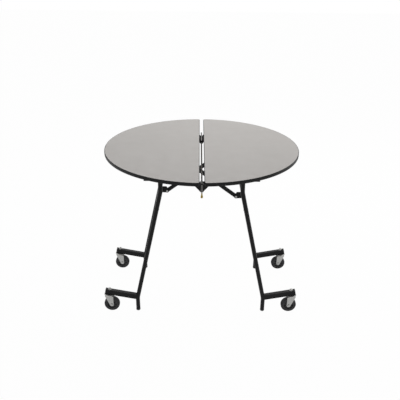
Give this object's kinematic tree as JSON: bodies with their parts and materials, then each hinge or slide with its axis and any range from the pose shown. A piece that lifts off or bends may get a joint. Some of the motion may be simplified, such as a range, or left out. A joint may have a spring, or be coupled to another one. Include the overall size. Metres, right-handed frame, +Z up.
{
  "type": "mobile folding cafeteria table",
  "caption": "Round standing-height cafeteria table with a split top that folds at a centre hinge, on splayed tube legs with outrigger arms and swivel casters.",
  "frame": {"origin": "on the floor under the middle of the top", "axes": "+Z up, +X to the right across the fold line, +Y away from the viewer along the fold line"},
  "size_m": [1.2816, 1.2178, 1.0668],
  "materials": {
    "laminate": "fine matt warm grey laminate",
    "core": "raw particle board",
    "edge": "satin black moulding",
    "frame": "black powder coat",
    "zinc": "bright zinc plate",
    "tyre": "charcoal rubber",
    "hub": "dark moulded hub",
    "cap": "black plastic",
    "brass": "dull brass"
  },
  "bodies": {
    "left_top": {"left_edge_band": "edge", "left_front_rail": "frame", "left_hinge_leaves": "frame", "left_laminate": "laminate", "left_link_bracket": "frame", "left_pivot_bearings": "frame", "left_rear_rail": "frame", "left_screws": "zinc", "left_top_core": "core", "torsion_bar": "zinc", "release_guide": "frame"},
    "right_top": {"right_edge_band": "edge", "right_front_rail": "frame", "right_hinge_leaves": "frame", "right_laminate": "laminate", "right_link_bracket": "frame", "right_pivot_bearings": "frame", "right_rear_rail": "frame", "right_screws": "zinc", "right_top_core": "core"},
    "release": {"release_strap": "zinc", "release_tip": "brass"},
    "left_leg_frame": {"left_front_leg": "frame", "left_rear_leg": "frame", "left_pivot_tube": "frame", "left_cross_tube": "frame", "left_link_bolt": "zinc", "left_front_arm": "frame", "left_rear_arm": "frame", "left_end_caps": "cap", "left_feet": "cap", "left_caster_stems": "zinc"},
    "left_fold_link": {"left_link": "frame"},
    "left_front_caster": {"left_front_fork": "zinc", "left_front_axle": "zinc"},
    "left_front_wheel": {"left_front_tyre": "tyre", "left_front_hub": "hub"},
    "left_rear_caster": {"left_rear_fork": "zinc", "left_rear_axle": "zinc"},
    "left_rear_wheel": {"left_rear_tyre": "tyre", "left_rear_hub": "hub"},
    "right_leg_frame": {"right_front_leg": "frame", "right_rear_leg": "frame", "right_pivot_tube": "frame", "right_cross_tube": "frame", "right_link_bolt": "zinc", "right_front_arm": "frame", "right_rear_arm": "frame", "right_end_caps": "cap", "right_feet": "cap", "right_caster_stems": "zinc"},
    "right_fold_link": {"right_link": "frame"},
    "right_front_caster": {"right_front_fork": "zinc", "right_front_axle": "zinc"},
    "right_front_wheel": {"right_front_tyre": "tyre", "right_front_hub": "hub"},
    "right_rear_caster": {"right_rear_fork": "zinc", "right_rear_axle": "zinc"},
    "right_rear_wheel": {"right_rear_tyre": "tyre", "right_rear_hub": "hub"}
  },
  "joints": [
    {"name": "fold", "type": "hinge", "parent": "left_top", "child": "right_top", "pos_m": [0, 0, 0.988], "axis": [0, 1, 0], "range_deg": [0, 172]},
    {"name": "left_leg_turn", "type": "hinge", "parent": "left_top", "child": "left_leg_frame", "pos_m": [-0.249, 0, 1.031], "axis": [0, 1, 0], "range_deg": [0, 82.5]},
    {"name": "left_link_turn", "type": "hinge", "parent": "left_leg_frame", "child": "left_fold_link", "pos_m": [-0.227, 0.043, 0.74], "axis": [0, -1, 0], "range_deg": [0, 45.37]},
    {"name": "left_front_swivel", "type": "hinge", "parent": "left_leg_frame", "child": "left_front_caster", "pos_m": [-0.6045, -0.27, 0.14366], "axis": [0.1908, 0, 0.9816], "continuous": true},
    {"name": "left_front_roll", "type": "hinge", "parent": "left_front_caster", "child": "left_front_wheel", "pos_m": [-0.58996, -0.27, 0.0518], "axis": [0, 1, 0], "continuous": true},
    {"name": "left_rear_swivel", "type": "hinge", "parent": "left_leg_frame", "child": "left_rear_caster", "pos_m": [-0.6045, 0.27, 0.14366], "axis": [0.1908, 0, 0.9816], "continuous": true},
    {"name": "left_rear_roll", "type": "hinge", "parent": "left_rear_caster", "child": "left_rear_wheel", "pos_m": [-0.58996, 0.27, 0.0518], "axis": [0, 1, 0], "continuous": true},
    {"name": "right_leg_turn", "type": "hinge", "parent": "right_top", "child": "right_leg_frame", "pos_m": [0.249, 0, 1.031], "axis": [0, -1, 0], "range_deg": [0, 82.5]},
    {"name": "right_link_turn", "type": "hinge", "parent": "right_leg_frame", "child": "right_fold_link", "pos_m": [0.227, -0.043, 0.74], "axis": [0, 1, 0], "range_deg": [0, 45.37]},
    {"name": "right_front_swivel", "type": "hinge", "parent": "right_leg_frame", "child": "right_front_caster", "pos_m": [0.6045, -0.27, 0.14366], "axis": [-0.1908, 0, 0.9816], "continuous": true},
    {"name": "right_front_roll", "type": "hinge", "parent": "right_front_caster", "child": "right_front_wheel", "pos_m": [0.58996, -0.27, 0.0518], "axis": [0, 1, 0], "continuous": true},
    {"name": "right_rear_swivel", "type": "hinge", "parent": "right_leg_frame", "child": "right_rear_caster", "pos_m": [0.6045, 0.27, 0.14366], "axis": [-0.1908, 0, 0.9816], "continuous": true},
    {"name": "right_rear_roll", "type": "hinge", "parent": "right_rear_caster", "child": "right_rear_wheel", "pos_m": [0.58996, 0.27, 0.0518], "axis": [0, 1, 0], "continuous": true},
    {"name": "release_pull", "type": "slide", "parent": "left_top", "child": "release", "axis": [0, 0, -1], "range_m": [0, 0.01], "stiffness_N_per_m": 400, "springref_m": -0.01}
  ],
  "couplings": [
    {"joint": "left_leg_turn", "follows": "fold", "ratio": 0.47674},
    {"joint": "left_link_turn", "follows": "fold", "ratio": 0.26087},
    {"joint": "right_leg_turn", "follows": "fold", "ratio": 0.47674},
    {"joint": "right_link_turn", "follows": "fold", "ratio": 0.26087}
  ]
}
